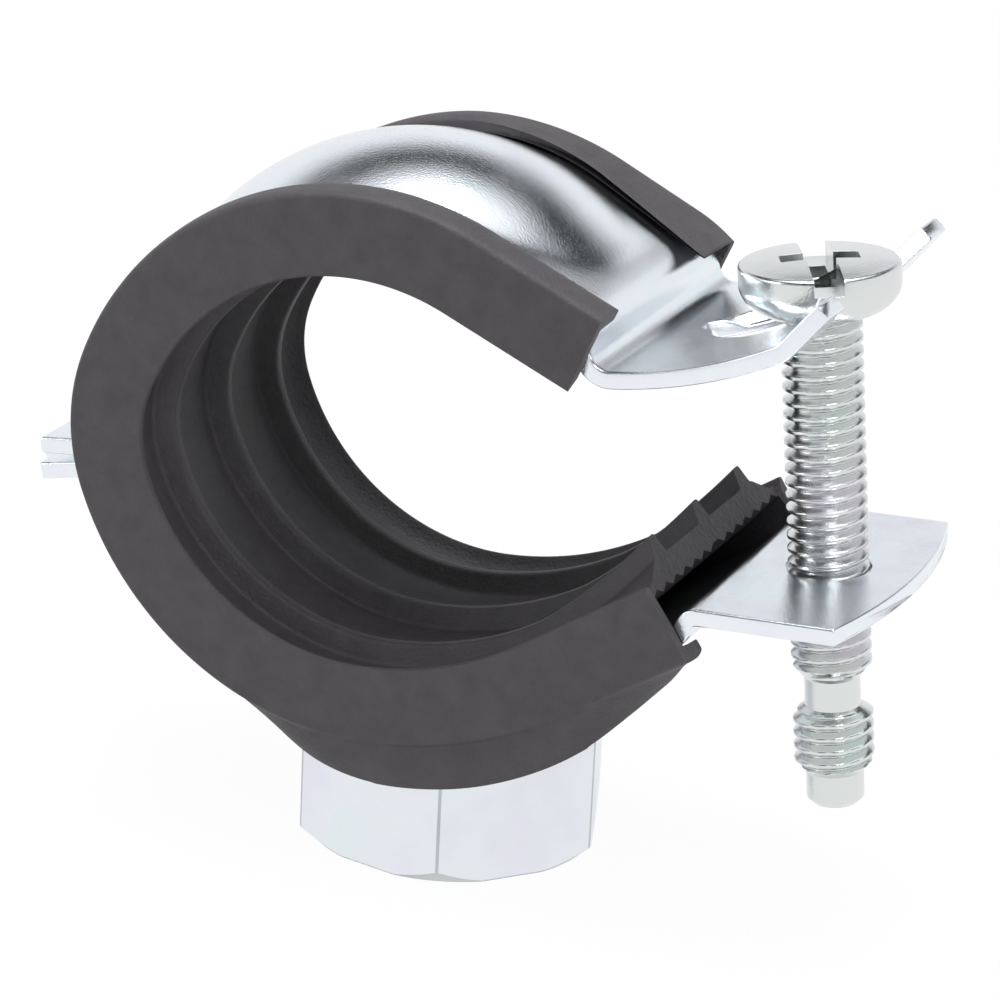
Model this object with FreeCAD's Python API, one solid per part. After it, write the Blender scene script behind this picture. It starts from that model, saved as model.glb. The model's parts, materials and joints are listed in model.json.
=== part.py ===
"""Rubber lined pipe clamp: two hinged half rings of strip steel that one captive screw pulls together.

The pipe runs along Y through the origin, +X is the screw side, +Z points away from the connection nut.
Every flat form is drawn in the XZ plane, seen from the front (-Y), and given its width along Y.
A strip is described by its centreline: a start, a heading in degrees and a list of steps, each either a
straight run ("go", length) or a bend ("turn", radius, degrees), where a positive turn is to the left.
"""
import FreeCAD
import Part
import os
from math import sin, cos, tan, radians, degrees, atan2, acos, sqrt

V = FreeCAD.Vector

# Strip steel
strip_thickness = 1.25
strip_width = 24.5
hinge_bend_radius = 1.5

# Pipe side of the half rings, measured at the liner's inner edge
ring_radius = 17.5
relaxed_radius = 26.0
upper_drop = 5.9
upper_shift = -0.15

# Crown pressed into the upper half, rising from the hinge and running out at the bend to the flange
crown_rise = 2.6
crown_angle = 105.0
crown_shift = 4.0
crown_start_angle = 172.0
crown_root = 0.6
crown_margin = 1.9
crown_facets = 6

# Rubber profile, depths measured outwards from the inner edge
wall_thickness = 0.9
edge_clearance = 0.1
edge_bevel = 0.45
edge_ramp = 0.9
edge_ramp_depth = 0.5
floor_top = 1.3
floor_bottom = 3.45
seat_clearance = 0.1
lip_reach = 2.75
lip_thickness = 1.0
lip_flare = 0.45
lip_flare_place = 2.1
lip_tip = 0.35
lip_gap = 0.1
rib_spacing = 8.2
rib_width = 1.5
rib_crest = -0.3

# Lower half, angles seen from the ring's centre
lower_start_angle = 201.4
lower_bare_angle = 186.0
lower_lip_angle = 207.0
lower_relax_angle = 275.0
lower_straight_angle = 304.0
lower_straight = 10.4
liner_lower_end = 11.1
lower_kink_slope = 71.0
lower_kink_radius = 1.2
lower_kink_run = 0.65
lower_flange_radius = 1.1
lower_flange_slope = 3.6
lower_flange_length = 11.9
flange_end_bulge = 1.7
flange_trim = 3.0

# Lips of the lower half, turned straight over the nut's front and back corners
front_lip_angle = 256.0
front_lip_run = 3.8
front_lip_hang = 3.3
back_lip_angle = 231.0
back_lip_end_angle = 294.3
back_lip_hang = 2.7
lip_nut_gap = 0.35
lip_nut_rise = 3.2

# Upper half, angles seen from the upper ring's centre
upper_start_angle = 175.2
upper_bare_angle = 184.0
upper_lip_angle = 170.5
upper_straight_angle = 67.5
upper_straight = 8.2
liner_upper_end = 10.4
upper_kink_slope = -75.0
upper_kink_radius = 1.0
upper_kink_run = 1.6
upper_flange_radius = 2.0
upper_flange_slope = 8.5
upper_flange_rise = 20.0
upper_flange_length = 12.7
ear_slope = 52.0
ear_bend_radius = 2.0
ear_length = 4.3

# Slot in the upper flange, widening towards its open end
slot_tip_reach = 8.9
slot_tip_radius = 0.9
slot_seat_reach = 2.5
slot_seat_radius = 3.9
slot_mouth = 5.2
slot_mouth_run = 2.9
slot_dish_foot = 3.2
slot_dish_mouth = 7.2
slot_dish_depth = 3.2
slot_travel = 2.1
ear_tip_width = 1.3
ear_tip_run = 0.6

# Hook hinge
tab_reach = 26.0
lower_tab_slope = 12.0
upper_tab_slope = 7.5
lower_tab_extra = 2.4
shoulder_half_width = 8.6
shoulder_slant = 1.2
hinge_inset = 2.2
hinge_sink = 0.3
tongue_inset = 1.0
tongue_width = 10.0
tongue_clearance = 0.6
tongue_side_clearance = 0.4
tongue_bend = 1.0
tongue_root = 0.45
tongue_drop = 3.7
tongue_hook = 0.9
tongue_hook_turn = 55.0
seam_opening = 12.5

# Connection nut
nut_side_margin = 1.3
nut_turn = 49.75
nut_x = 3.07
nut_foot_z = -34.4
nut_top_gap = 0.25
nut_chamfer_width = 2.2
nut_chamfer_height = 1.9
nut_top_chamfer_height = 1.2
large_thread_bore_radius = 4.25
small_thread_bore_radius = 3.4
large_thread_depth = 5.5
nut_weld_radius = 7.0
nut_closed_end = 0.6
nut_lead_in = 0.8

# Locking screw
screw_end_distance = 7.48
screw_lean = 6.15
screw_radius = 2.92
screw_hole_radius = 3.02
head_radius = 5.75
head_underside_z = 10.75
head_dome = 0.4
head_rim_height = 3.8
head_edge = 0.25
head_land = 3.8
head_side = 0.62
head_under_radius = 0.9
head_under_height = 0.28
head_facets = 3
neck_radius = 2.03
thread_length = 27.6
neck_length = 1.4
lower_thread_length = 5.3
point_length = 2.9
point_radius = 2.1
point_bevel = 0.45
recess_depth = 1.5
recess_width = 1.7
recess_turn = 27.0
cross_reach = 2.9
cross_foot = 1.2
cross_width = 1.1
cross_depth = 1.2

# Sizes that follow from the ones above
liner_half_width = strip_width / 2 + edge_clearance + wall_thickness
steel_inner = floor_bottom + seat_clearance
steel_middle = steel_inner + strip_thickness / 2
steel_outer = steel_inner + strip_thickness
liner_outer = steel_outer + lip_thickness
upper_centre = V(upper_shift, 0, -upper_drop)
lower_centre = V(0, 0, 0)
half_strip = strip_width / 2
wall_in = half_strip + edge_clearance
nut_flats = strip_width - 2 * nut_side_margin
tongue_x = -tab_reach + tongue_inset
hinge_x = tongue_x + hinge_inset
tab_low = (ring_radius + steel_middle) * sin(radians(lower_start_angle))
tab_high = (ring_radius + steel_middle) * sin(radians(upper_start_angle)) - upper_drop
hinge_z = (tab_low + tab_high) / 2 - hinge_sink
below_tabs = -ring_radius


def left_of(heading):
    """Unit vector to the left of a heading, in the XZ plane."""
    return V(-sin(radians(heading)), 0, cos(radians(heading)))


def ahead(heading):
    return V(cos(radians(heading)), 0, sin(radians(heading)))


def follow(start, heading, steps):
    """Walks the steps and gives each piece as (kind, start, heading, centre, turn, radius), and the end."""
    pieces = []
    place = start
    for step in steps:
        if step[0] == "go":
            pieces.append(("go", place, heading, None, step[1], None))
            place = place + ahead(heading) * step[1]
        else:
            radius, turn = step[1], step[2]
            side = 1 if turn > 0 else -1
            centre = place + left_of(heading) * radius * side
            pieces.append(("turn", place, heading, centre, turn, radius))
            heading = heading + turn
            place = centre - left_of(heading) * radius * side
    return pieces, place, heading


def side_line(pieces, offset):
    """Edges of the line that runs at a distance to the left of the centreline."""
    edges = []
    for kind, place, heading, centre, amount, radius in pieces:
        a = place + left_of(heading) * offset
        if kind == "go":
            edges.append(Part.LineSegment(a, a + ahead(heading) * amount).toShape())
            continue
        side = 1 if amount > 0 else -1
        reach = radius - side * offset
        middle = centre - left_of(heading + amount / 2) * reach * side
        b = centre - left_of(heading + amount) * reach * side
        edges.append(Part.Arc(a, middle, b).toShape())
    return edges


def strip(pieces, end_place, end_heading, thickness, half_width):
    """Sheet of even thickness along a centreline."""
    left = side_line(pieces, thickness / 2)
    right = side_line(pieces, -thickness / 2)
    start_cap = Part.LineSegment(pieces[0][1] + left_of(pieces[0][2]) * thickness / 2,
                                 pieces[0][1] - left_of(pieces[0][2]) * thickness / 2).toShape()
    end_cap = Part.LineSegment(end_place + left_of(end_heading) * thickness / 2,
                               end_place - left_of(end_heading) * thickness / 2).toShape()
    wire = Part.Wire(Part.__sortEdges__(left + right + [start_cap, end_cap]))
    outline = Part.Face(wire)
    outline.translate(V(0, -half_width, 0))
    return outline.extrude(V(0, 2 * half_width, 0))


def block(x0, x1, y0, y1, z0, z1):
    return Part.makeBox(x1 - x0, y1 - y0, z1 - z0, V(x0, y0, z0))


def prism(points, z0, z1):
    """Upright prism on a closed outline given as (x, y) points."""
    corners = [V(x, y, z0) for x, y in points]
    wire = Part.makePolygon(corners + [corners[0]])
    return Part.Face(wire).extrude(V(0, 0, z1 - z0))


def seam_block(angle, side):
    """Block on one side of the line that leaves the hinge at an angle, reaching to the middle of the ring."""
    reach = ring_radius
    corners = [V(-reach, 0, 0), V(reach, 0, 0), V(reach, 0, side * reach), V(-reach, 0, side * reach)]
    face = Part.Face(Part.makePolygon(corners + [corners[0]]))
    face.rotate(V(0, 0, 0), V(0, -1, 0), angle)
    face.translate(hinge_place - V(0, strip_width, 0))
    return face.extrude(V(0, 2 * strip_width, 0))


def ring_point(centre, radius, angle):
    return centre + ahead(angle) * radius


def lower_reference(start_angle, offset, run):
    """Lower half ring line at a distance outside the liner's inner edge."""
    start = ring_point(lower_centre, ring_radius + offset, start_angle)
    steps = [("turn", ring_radius + offset, lower_relax_angle - start_angle),
             ("turn", relaxed_radius + offset, lower_straight_angle - lower_relax_angle),
             ("go", run)]
    return start, start_angle + 90, steps


def upper_reference(start_angle, offset, run):
    start = ring_point(upper_centre, ring_radius + offset, start_angle)
    steps = [("turn", ring_radius + offset, upper_straight_angle - start_angle),
             ("go", run)]
    return start, start_angle - 90, steps


def tab_start(ring_start, ring_heading, tab_heading, turn_side, reach):
    """Tip of a hinge tab whose bend meets the ring, and the steps from the tip to the ring."""
    turn = ring_heading - tab_heading
    side = 1 if turn_side > 0 else -1
    centre = ring_start + left_of(ring_heading) * hinge_bend_radius * side
    bend_start = centre - left_of(tab_heading) * hinge_bend_radius * side
    run = (bend_start.x + reach) / cos(radians(tab_heading))
    tip = bend_start - ahead(tab_heading) * run
    return tip, [("go", run), ("turn", hinge_bend_radius, turn)]


lower_kink = [("turn", lower_kink_radius, lower_kink_slope - (lower_straight_angle - 270)),
              ("go", lower_kink_run),
              ("turn", lower_flange_radius, lower_flange_slope - lower_kink_slope),
              ("go", lower_flange_length)]
upper_kink = [("turn", upper_kink_radius, upper_kink_slope - (upper_straight_angle - 90)),
              ("go", upper_kink_run),
              ("turn", upper_flange_radius, upper_flange_slope - upper_kink_slope),
              ("turn", upper_flange_length / radians(upper_flange_rise), upper_flange_rise)]


def kink_space(reference, kink, inward):
    """Room beside the band's kink, so that the liner's floor stops where the band leaves it."""
    start, heading, steps = reference
    _, place, heading = follow(start, heading, steps)
    pieces, _, _ = follow(place, heading, kink)
    edges = side_line(pieces, inward * strip_thickness / 2)
    first = edges[0].Vertexes[0].Point
    last = edges[-1].Vertexes[-1].Point
    edges.append(Part.LineSegment(last, first).toShape())
    face = Part.Face(Part.Wire(Part.__sortEdges__(edges)))
    face.translate(V(0, -wall_in, 0))
    return face.extrude(V(0, 2 * wall_in, 0))


def make_lower_band():
    body = strip(lower_pieces, lower_end, lower_end_heading, strip_thickness, half_strip)
    # Convex end of the flange: an arc through the two corners and the middle of the end
    corner_x = lower_end.x - flange_end_bulge
    past_y = half_strip + flange_trim
    past_x = lower_end.x + flange_trim
    arc = Part.Arc(V(corner_x, -half_strip, 0), V(lower_end.x, 0, 0), V(corner_x, half_strip, 0)).toShape()
    rest = Part.makePolygon([V(corner_x, half_strip, 0), V(corner_x, past_y, 0), V(past_x, past_y, 0),
                             V(past_x, -past_y, 0), V(corner_x, -past_y, 0), V(corner_x, -half_strip, 0)])
    trim = Part.Face(Part.Wire([arc] + rest.Edges))
    trim.translate(V(0, 0, lower_end.z - flange_trim))
    body = body.cut(trim.extrude(V(0, 0, 2 * flange_trim)))
    # Tab narrows behind the rubber, where the tongue of the upper half hooks through its slot
    tip_x = -tab_reach - lower_tab_extra
    wide = shoulder_half_width + shoulder_slant
    narrow = shoulder_half_width - shoulder_slant
    for side in (-1, 1):
        outline = [(tip_x - flange_trim, side * past_y), (-tab_reach, side * past_y),
                   (-tab_reach, side * wide), (tip_x, side * narrow), (tip_x - flange_trim, side * narrow)]
        body = body.cut(prism(outline, below_tabs, 0))
    slot_half = strip_thickness / 2 + tongue_clearance
    slot_side = tongue_width / 2 + tongue_side_clearance
    slot = block(tongue_x - slot_half, tongue_x + slot_half, -slot_side, slot_side, below_tabs, hinge_z)
    body = body.cut(slot)
    return body.cut(screw_cylinder(screw_hole_radius, -ring_radius, 0))


def crown_face(place, outward, skin):
    """Section of the crown: an arch across the strip, closed by a flat foot, skin below the crest line."""
    half = half_strip - crown_margin
    shares = [2 * k / crown_facets - 1 for k in range(crown_facets + 1)]
    arch = [(half * share, -crown_rise * share ** 2) for share in shares]
    outline = arch + [(half, -crown_rise - crown_root), (-half, -crown_rise - crown_root)]
    corners = [V(place.x + outward.x * (depth - skin), y, place.z + outward.z * (depth - skin))
               for y, depth in outline]
    return Part.Face(Part.makePolygon(corners + [corners[0]]))


def crown(skin):
    """Arched bar along the crest line: an arc round a centre moved to the high side, then a straight run."""
    centre = upper_centre + ahead(crown_angle) * crown_shift
    radius = ring_radius + steel_outer + crown_rise - crown_shift
    start, heading, steps = upper_reference(upper_start_angle, steel_outer, upper_straight)
    _, foot, _ = follow(start, heading, steps)
    to_foot = foot - centre
    leave = degrees(atan2(to_foot.z, to_foot.x)) + degrees(acos(radius / to_foot.Length))
    begin = ring_point(centre, radius, crown_start_angle)
    bend = crown_face(begin, ahead(crown_start_angle), skin).revolve(
        centre, V(0, 1, 0), crown_start_angle - leave)
    last = ring_point(centre, radius, leave)
    run = crown_face(last, ahead(leave), skin).extrude(foot - last)
    return Part.Solid(bend.Shells[0]).fuse(Part.Solid(run.Shells[0]))


def inside_upper(offset):
    """Everything inside a line that runs along the upper half, as far out as the hinge tab."""
    start, heading, steps = upper_reference(upper_bare_angle, offset, upper_straight + upper_kink_run)
    pieces, end, _ = follow(start, heading, steps)
    edges = side_line(pieces, 0)
    edges.append(Part.LineSegment(end, upper_centre).toShape())
    edges.append(Part.LineSegment(upper_centre, start).toShape())
    face = Part.Face(Part.Wire(Part.__sortEdges__(edges)))
    face.translate(V(0, -strip_width, 0))
    return face.extrude(V(0, 2 * strip_width, 0))


def make_upper_band():
    start, heading, ring = upper_reference(upper_start_angle, steel_middle, upper_straight)
    tip, tab = tab_start(start, heading, upper_tab_slope, 1, tab_reach)
    ears = [("turn", ear_bend_radius, ear_slope - upper_flange_slope - upper_flange_rise), ("go", ear_length)]
    pieces, end, end_heading = follow(tip, upper_tab_slope, tab + ring + upper_kink + ears)
    body = strip(pieces, end, end_heading, strip_thickness, half_strip)
    body = body.fuse(crown(0.0).cut(inside_upper(steel_inner))).cut(crown(strip_thickness))
    # Tongue: the middle of the tab turns down through the slot of the lower tab and hooks outwards
    slope = tan(radians(upper_tab_slope))
    tongue_steps = [("go", tongue_root), ("turn", tongue_bend, 90.0 - upper_tab_slope), ("go", tongue_drop),
                    ("turn", tongue_bend, -tongue_hook_turn), ("go", tongue_hook)]
    tongue_start = V(tongue_x + tongue_bend + tongue_root, 0, tip.z + (tongue_x + tongue_bend - tip.x) * slope
                     + tongue_root * slope)
    tongue_pieces, tongue_end, tongue_heading = follow(tongue_start, 180 + upper_tab_slope, tongue_steps)
    tongue = strip(tongue_pieces, tongue_end, tongue_heading, strip_thickness, tongue_width / 2)
    window = block(-tab_reach - flange_trim, tongue_x + tongue_bend, -tongue_width / 2, tongue_width / 2,
                   below_tabs, 0)
    body = body.cut(window).fuse(tongue)
    # Slot: narrow rounded tip, straight sides to a round seat, then open between the ears
    slot_tip_x = screw_x - slot_tip_reach
    slot_seat_x = screw_x - slot_seat_reach
    lean = atan2(slot_seat_radius - slot_tip_radius, slot_seat_x - slot_tip_x)
    tip_y = slot_tip_radius * cos(lean)
    seat_y = slot_seat_radius * cos(lean)
    taper_x = slot_tip_x - slot_tip_radius * sin(lean)
    seat_x = slot_seat_x - slot_seat_radius * sin(lean)
    high = ring_radius
    taper = prism([(taper_x, -tip_y), (seat_x, -seat_y), (seat_x, seat_y), (taper_x, tip_y)], 0, high)
    tip_round = Part.makeCylinder(slot_tip_radius, high, V(slot_tip_x, 0, 0))
    seat_round = Part.makeCylinder(slot_seat_radius, high, V(slot_seat_x, 0, 0))
    bend_x = slot_seat_x + slot_mouth_run
    ear_y = half_strip - ear_tip_width
    ear_x = end.x + ear_tip_run
    past_x = end.x + flange_trim
    mouth = prism([(slot_seat_x, -slot_seat_radius), (bend_x, -slot_mouth), (ear_x, -ear_y), (past_x, -ear_y),
                   (past_x, ear_y), (ear_x, ear_y), (bend_x, slot_mouth), (slot_seat_x, slot_seat_radius)],
                  0, high)
    for tool in (taper, tip_round, seat_round, mouth):
        body = body.cut(tool)
    # The rim is dished for the screw head, which slides along the slot as the clamp opens and closes
    seat = screw_origin + screw_axis * head_seat
    seat_share = (seat.x - slot_tip_x) / (slot_seat_x - slot_tip_x)
    seat_slope = upper_flange_slope + upper_flange_rise * seat_share / 2
    for shift in (-slot_travel, 0, slot_travel):
        foot = seat + ahead(seat_slope) * shift - left_of(seat_slope) * strip_thickness
        body = body.cut(Part.makeCone(slot_dish_foot, slot_dish_mouth, slot_dish_depth, foot,
                                      left_of(seat_slope)))
    return body.removeSplitter()


def profile_outline(lips):
    """Half of the liner's section as (y, distance outside the inner edge), from the middle to the side."""
    rib_half = rib_width / 2
    inner = rib_spacing - rib_half
    outer = rib_spacing + rib_half
    points = [(0.0, rib_crest), (rib_half, rib_crest), (rib_half, floor_top), (inner, floor_top),
              (inner, rib_crest), (outer, rib_crest), (outer, floor_top),
              (wall_in - edge_ramp, floor_top), (wall_in, edge_ramp_depth),
              (liner_half_width - edge_bevel, 0.0), (liner_half_width, edge_bevel)]
    if lips:
        flare_y = liner_half_width - lip_flare_place
        tip_y = liner_half_width - lip_reach
        points += [(liner_half_width, liner_outer), (flare_y, liner_outer + lip_flare),
                   (tip_y, liner_outer + lip_gap), (tip_y, liner_outer - lip_tip),
                   (flare_y, steel_outer + lip_tip), (wall_in, steel_outer + lip_gap)]
    else:
        points += [(liner_half_width, liner_outer), (wall_in, liner_outer)]
    return points + [(wall_in, floor_bottom), (0.0, floor_bottom)]


def profile_face(place, outward, lips):
    half = profile_outline(lips)
    mirrored = [(-y, d) for y, d in reversed(half) if y > 0]
    corners = [V(place.x + outward.x * d, y, place.z + outward.z * d) for y, d in half + mirrored]
    return Part.Face(Part.makePolygon(corners + [corners[0]]))


def sweep(pieces, outward_side, lips):
    """Solid of the liner's section along a reference line."""
    solid = None
    for kind, place, heading, centre, amount, radius in pieces:
        face = profile_face(place, left_of(heading) * outward_side, lips)
        if kind == "go":
            piece = face.extrude(ahead(heading) * amount)
        else:
            piece = face.revolve(centre, V(0, -1, 0), amount)
        piece = Part.Solid(piece.Shells[0]) if piece.ShapeType != "Solid" else piece
        solid = piece if solid is None else solid.fuse(piece)
    return solid


hinge_place = V(hinge_x, 0, hinge_z)
meet_z = -upper_drop / 2
meet_x = -sqrt(ring_radius ** 2 - meet_z ** 2)
seam_angle = degrees(atan2(meet_z - hinge_z, meet_x - hinge_x))


def lip_plate(start, corner, end, y):
    """Piece of lip turned straight outwards: flat, one wall thick, with an arched lower edge."""
    edge = Part.Arc(start, corner, end).toShape()
    face = Part.Face(Part.Wire([edge, Part.LineSegment(end, start).toShape()]))
    face.translate(V(0, y, 0))
    return face.extrude(V(0, wall_thickness, 0))


def nut_corner(side, hang):
    """Point of a hanging lip under the nut's front (-1) or back (1) corner."""
    x = max(nut_outline(nut_flats / 2), key=lambda corner: corner[1] * side)[0]
    return V(x, 0, -sqrt((ring_radius + liner_outer) ** 2 - x ** 2) - hang)


def make_liner_lower():
    start, heading, steps = lower_reference(lower_bare_angle, 0, liner_lower_end)
    bare_step = ("turn", ring_radius, lower_lip_angle - lower_bare_angle)
    grip_step = ("turn", ring_radius, lower_relax_angle - lower_lip_angle)
    bare, place, heading_on = follow(start, heading, [bare_step])
    gripping, _, _ = follow(place, heading_on, [grip_step] + steps[1:])
    body = sweep(bare, -1, False).fuse(sweep(gripping, -1, True))
    body = body.cut(seam_block(seam_angle - seam_opening, 1))
    # The lips part round the nut and hang down over its front and back corners
    nut_room = nut_outline(nut_flats / 2 + lip_nut_gap)
    around_nut = prism(nut_room, nut_foot_z, lip_nut_rise - ring_radius - steel_outer)
    band_end = V(0, -strip_width, 0)
    under_band = Part.makeCylinder(ring_radius + steel_outer, 2 * strip_width, band_end, V(0, 1, 0))
    body = body.cut(around_nut.cut(under_band))
    lip_line = ring_radius + liner_outer
    _, front_end, _ = follow(*lower_reference(lower_start_angle, liner_outer, front_lip_run))
    relaxed_centre = ring_point(lower_centre, ring_radius - relaxed_radius, lower_relax_angle)
    back_end = ring_point(relaxed_centre, relaxed_radius + liner_outer, back_lip_end_angle)
    front_start = ring_point(lower_centre, lip_line, front_lip_angle)
    back_start = ring_point(lower_centre, lip_line, back_lip_angle)
    front_low = nut_corner(-1, front_lip_hang)
    back_low = nut_corner(1, back_lip_hang)
    body = body.fuse(lip_plate(front_start, front_low, front_end, -liner_half_width))
    body = body.fuse(lip_plate(back_start, back_low, back_end, wall_in))
    line = lower_reference(lower_start_angle, steel_middle, lower_straight)
    body = body.cut(kink_space(line, lower_kink, 1))
    return body.cut(make_lower_band()).removeSplitter()


def make_liner_upper():
    start, heading, steps = upper_reference(upper_bare_angle, 0, liner_upper_end)
    bare_step = ("turn", ring_radius, upper_lip_angle - upper_bare_angle)
    grip_step = ("turn", ring_radius, upper_straight_angle - upper_lip_angle)
    bare, place, heading_on = follow(start, heading, [bare_step])
    gripping, _, _ = follow(place, heading_on, [grip_step] + steps[1:])
    body = sweep(bare, 1, False).fuse(sweep(gripping, 1, True))
    body = body.cut(seam_block(seam_angle, -1))
    line = upper_reference(upper_start_angle, steel_middle, upper_straight)
    body = body.cut(kink_space(line, upper_kink, -1))
    return body.cut(make_upper_band()).removeSplitter()


def nut_outline(apothem):
    corner = apothem / cos(radians(30))
    return [(nut_x + corner * cos(radians(nut_turn + 60 * k)), corner * sin(radians(nut_turn + 60 * k)))
            for k in range(6)]


def make_nut():
    top_z = -ring_radius - steel_outer - nut_top_gap
    body = prism(nut_outline(nut_flats / 2), nut_foot_z, top_z)
    corner = nut_flats / 2 / cos(radians(30))
    # Both ends are turned down to a cone that cuts the six corners
    height = top_z - nut_foot_z
    low = nut_chamfer_height
    high = nut_top_chamfer_height
    flat = corner - nut_chamfer_width
    cone = Part.makeCone(flat, corner, low, V(nut_x, 0, nut_foot_z))
    middle = Part.makeCylinder(corner, height - low - high, V(nut_x, 0, nut_foot_z + low))
    cap = Part.makeCone(corner, flat, high, V(nut_x, 0, top_z - high))
    body = body.common(cone.fuse(middle).fuse(cap))
    # Weld pad that follows the band
    pad_foot = V(nut_x, 0, top_z - strip_thickness)
    pad = Part.makeCylinder(nut_weld_radius, nut_weld_radius, pad_foot)
    body = body.fuse(pad.cut(lower_outside_solid()))
    large = Part.makeCylinder(large_thread_bore_radius, large_thread_depth, V(nut_x, 0, nut_foot_z))
    small = Part.makeCylinder(small_thread_bore_radius, height - nut_closed_end, V(nut_x, 0, nut_foot_z))
    lead_in = Part.makeCone(large_thread_bore_radius + nut_lead_in, large_thread_bore_radius, nut_lead_in,
                            V(nut_x, 0, nut_foot_z))
    for tool in (large, small, lead_in):
        body = body.cut(tool)
    return body.removeSplitter()


def lower_outside_solid():
    """Everything inside the outer face of the lower band, near the nut."""
    start, heading, steps = lower_reference(lower_lip_angle, steel_outer, strip_thickness)
    pieces, end, _ = follow(start, heading, steps)
    peak = V(0, 0, ring_radius)
    edges = side_line(pieces, 0)
    edges.append(Part.LineSegment(end, peak).toShape())
    edges.append(Part.LineSegment(peak, start).toShape())
    face = Part.Face(Part.Wire(Part.__sortEdges__(edges)))
    face.translate(V(0, -strip_width, 0))
    return face.extrude(V(0, 2 * strip_width, 0))


lower_ring_start, lower_ring_heading, lower_ring = lower_reference(lower_start_angle, steel_middle,
                                                                   lower_straight)
lower_tab_tip, lower_tab = tab_start(lower_ring_start, lower_ring_heading - 360, lower_tab_slope, -1,
                                     tab_reach + lower_tab_extra)
lower_line = lower_tab + lower_ring + lower_kink
lower_pieces, lower_end, lower_end_heading = follow(lower_tab_tip, lower_tab_slope, lower_line)

screw_x = lower_end.x - screw_end_distance
screw_axis = V(-sin(radians(screw_lean)), 0, cos(radians(screw_lean)))
screw_origin = V(screw_x, 0, 0)
head_seat = head_underside_z / cos(radians(screw_lean))


def screw_cylinder(radius, low, high):
    """Cylinder on the screw's axis between two distances from the level of the pipe's middle."""
    return Part.makeCylinder(radius, high - low, screw_origin + screw_axis * low, screw_axis)


def make_screw():
    under = head_seat
    rim = under + head_rim_height
    top = rim + head_dome
    neck_top = under - thread_length
    neck_low = neck_top - neck_length
    thread_low = neck_low - lower_thread_length
    point_low = thread_low - point_length
    taper = screw_radius - neck_radius
    # Section to one side of the axis, as (radius, distance along the axis)
    side_low = (head_radius, under + head_rim_height * head_side)
    under_mid = (head_radius * head_under_radius, under + head_rim_height * head_under_height)
    outline = [side_low, (head_radius, rim - head_edge), (head_radius - head_edge, rim), (head_land, top),
               (0, top), (0, point_low), (point_radius - point_bevel, point_low),
               (point_radius, point_low + point_bevel), (point_radius, thread_low),
               (screw_radius, thread_low + taper), (screw_radius, neck_low - taper), (neck_radius, neck_low),
               (neck_radius, neck_top), (screw_radius, neck_top + taper), (screw_radius, under)]
    corners = [V(r, 0, s) for r, s in outline]
    underside = Part.Arc(corners[-1], V(under_mid[0], 0, under_mid[1]), corners[0]).toShape()
    corners += underside.discretize(head_facets + 1)[1:-1]
    body = Part.Face(Part.makePolygon(corners + [corners[0]])).revolve(V(0, 0, 0), V(0, 0, 1), 360)
    body = Part.Solid(body.Shells[0]) if body.ShapeType != "Solid" else body
    # Slot right across the head, and a cross recess that tapers towards its foot
    slot_foot = top - recess_depth
    body = body.cut(block(-recess_width / 2, recess_width / 2, -head_radius, head_radius, slot_foot, top))
    cross_low = slot_foot - cross_depth
    wing = Part.makeCone(cross_foot, cross_reach, top - cross_low, V(0, 0, cross_low))
    blades = block(-cross_reach, cross_reach, -cross_width / 2, cross_width / 2, cross_low, top)
    body = body.cut(wing.common(blades))
    body.rotate(V(0, 0, 0), V(0, 0, 1), recess_turn)
    body.rotate(V(0, 0, 0), V(0, -1, 0), screw_lean)
    body.translate(screw_origin)
    return body


nodes = {
    "lower_band": make_lower_band,
    "upper_band": make_upper_band,
    "liner_lower": make_liner_lower,
    "liner_upper": make_liner_upper,
    "connection_nut": make_nut,
    "locking_screw": make_screw,
}

# The finished part stands with the middle of the nut's foot at the origin
os.makedirs("parts", exist_ok=True)
for name, make in nodes.items():
    shape = make()
    shape.translate(V(-nut_x, 0, -nut_foot_z))
    if shape.ShapeType != "Solid" and len(shape.Solids) == 1:
        shape = shape.Solids[0]
    print(name, shape.ShapeType, len(shape.Solids), shape.isValid(), round(shape.Volume, 1),
          len(shape.tessellate(0.0146)[1]))
    shape.exportStep("parts/" + name + ".step")
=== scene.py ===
import json
import bmesh
import bpy
import numpy as np
from mathutils import Matrix, Vector


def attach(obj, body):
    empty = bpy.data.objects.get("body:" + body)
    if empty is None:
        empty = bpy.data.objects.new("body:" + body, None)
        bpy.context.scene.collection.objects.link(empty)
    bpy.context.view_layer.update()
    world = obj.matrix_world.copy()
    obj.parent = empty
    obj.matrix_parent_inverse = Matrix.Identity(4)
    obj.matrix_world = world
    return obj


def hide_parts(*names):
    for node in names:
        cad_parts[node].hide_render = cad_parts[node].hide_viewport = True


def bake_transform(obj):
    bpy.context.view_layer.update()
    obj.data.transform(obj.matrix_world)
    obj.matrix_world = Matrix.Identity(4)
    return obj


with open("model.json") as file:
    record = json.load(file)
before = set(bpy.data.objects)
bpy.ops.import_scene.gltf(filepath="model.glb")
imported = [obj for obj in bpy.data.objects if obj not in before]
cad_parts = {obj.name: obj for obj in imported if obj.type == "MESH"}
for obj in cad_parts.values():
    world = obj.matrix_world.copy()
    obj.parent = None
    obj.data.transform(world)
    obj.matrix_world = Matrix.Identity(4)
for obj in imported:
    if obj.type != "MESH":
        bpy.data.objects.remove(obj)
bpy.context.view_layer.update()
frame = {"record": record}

# The two halves of the band: 1.25 mm strip steel, sheared, bent to shape and bright zinc plated, and hooked
# into each other at the hinge. The lower half is plain. The upper half is pressed to an arched crown. Its
# flange is forked round the screw, with a dished rim and two turned-up ears.

# The nut's foot is the origin and the pipe's axis lies above it. All pieces are drawn in millimetres from
# the pipe's axis, X to the screw, Z away from the nut.
mounts = {mount["name"]: mount for mount in frame["record"]["mounts"]}
pipe_axis = np.array(mounts["pipe_seat"]["pos_m"]) * 1000.0


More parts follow.
